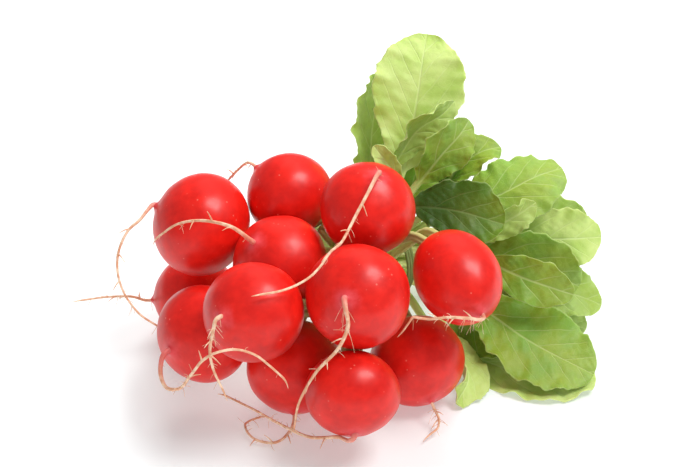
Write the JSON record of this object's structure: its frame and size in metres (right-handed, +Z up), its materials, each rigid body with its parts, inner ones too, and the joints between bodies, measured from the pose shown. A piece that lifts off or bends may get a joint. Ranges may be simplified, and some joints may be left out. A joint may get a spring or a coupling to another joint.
{
  "type": "bunch of radishes",
  "caption": "Tied bunch of round red radishes lying on its side, with thin curling tap roots and a fan of green leaves, for food and market scenes.",
  "frame": {"origin": "centre of the bunch's footprint, on the surface that it lies on", "axes": "+Z up, +X from the radishes on the left to the leaves on the right, -Y the side that the tap roots point to"},
  "size_m": [0.176, 0.137, 0.0872],
  "materials": {
    "radish_skin": "smooth moist red skin, fading to cream on the tap roots",
    "leaf": "soft, slightly waxy green leaf with paler veins, underside and stalk",
    "band": "plain dull green rubber"
  },
  "bodies": {
    "root": {"radish_01": "radish_skin", "radish_02": "radish_skin", "radish_03": "radish_skin", "radish_04": "radish_skin", "radish_05": "radish_skin", "radish_06": "radish_skin", "radish_07": "radish_skin", "radish_08": "radish_skin", "radish_09": "radish_skin", "radish_10": "radish_skin", "radish_11": "radish_skin", "radish_12": "radish_skin", "leaves_01": "leaf", "leaves_02": "leaf", "leaves_03": "leaf", "leaves_04": "leaf", "leaves_05": "leaf", "leaves_06": "leaf", "leaves_07": "leaf", "leaves_08": "leaf", "leaves_09": "leaf", "leaves_10": "leaf", "leaves_11": "leaf", "leaves_12": "leaf", "stalk_band": "band"}
  },
  "joints": []
}
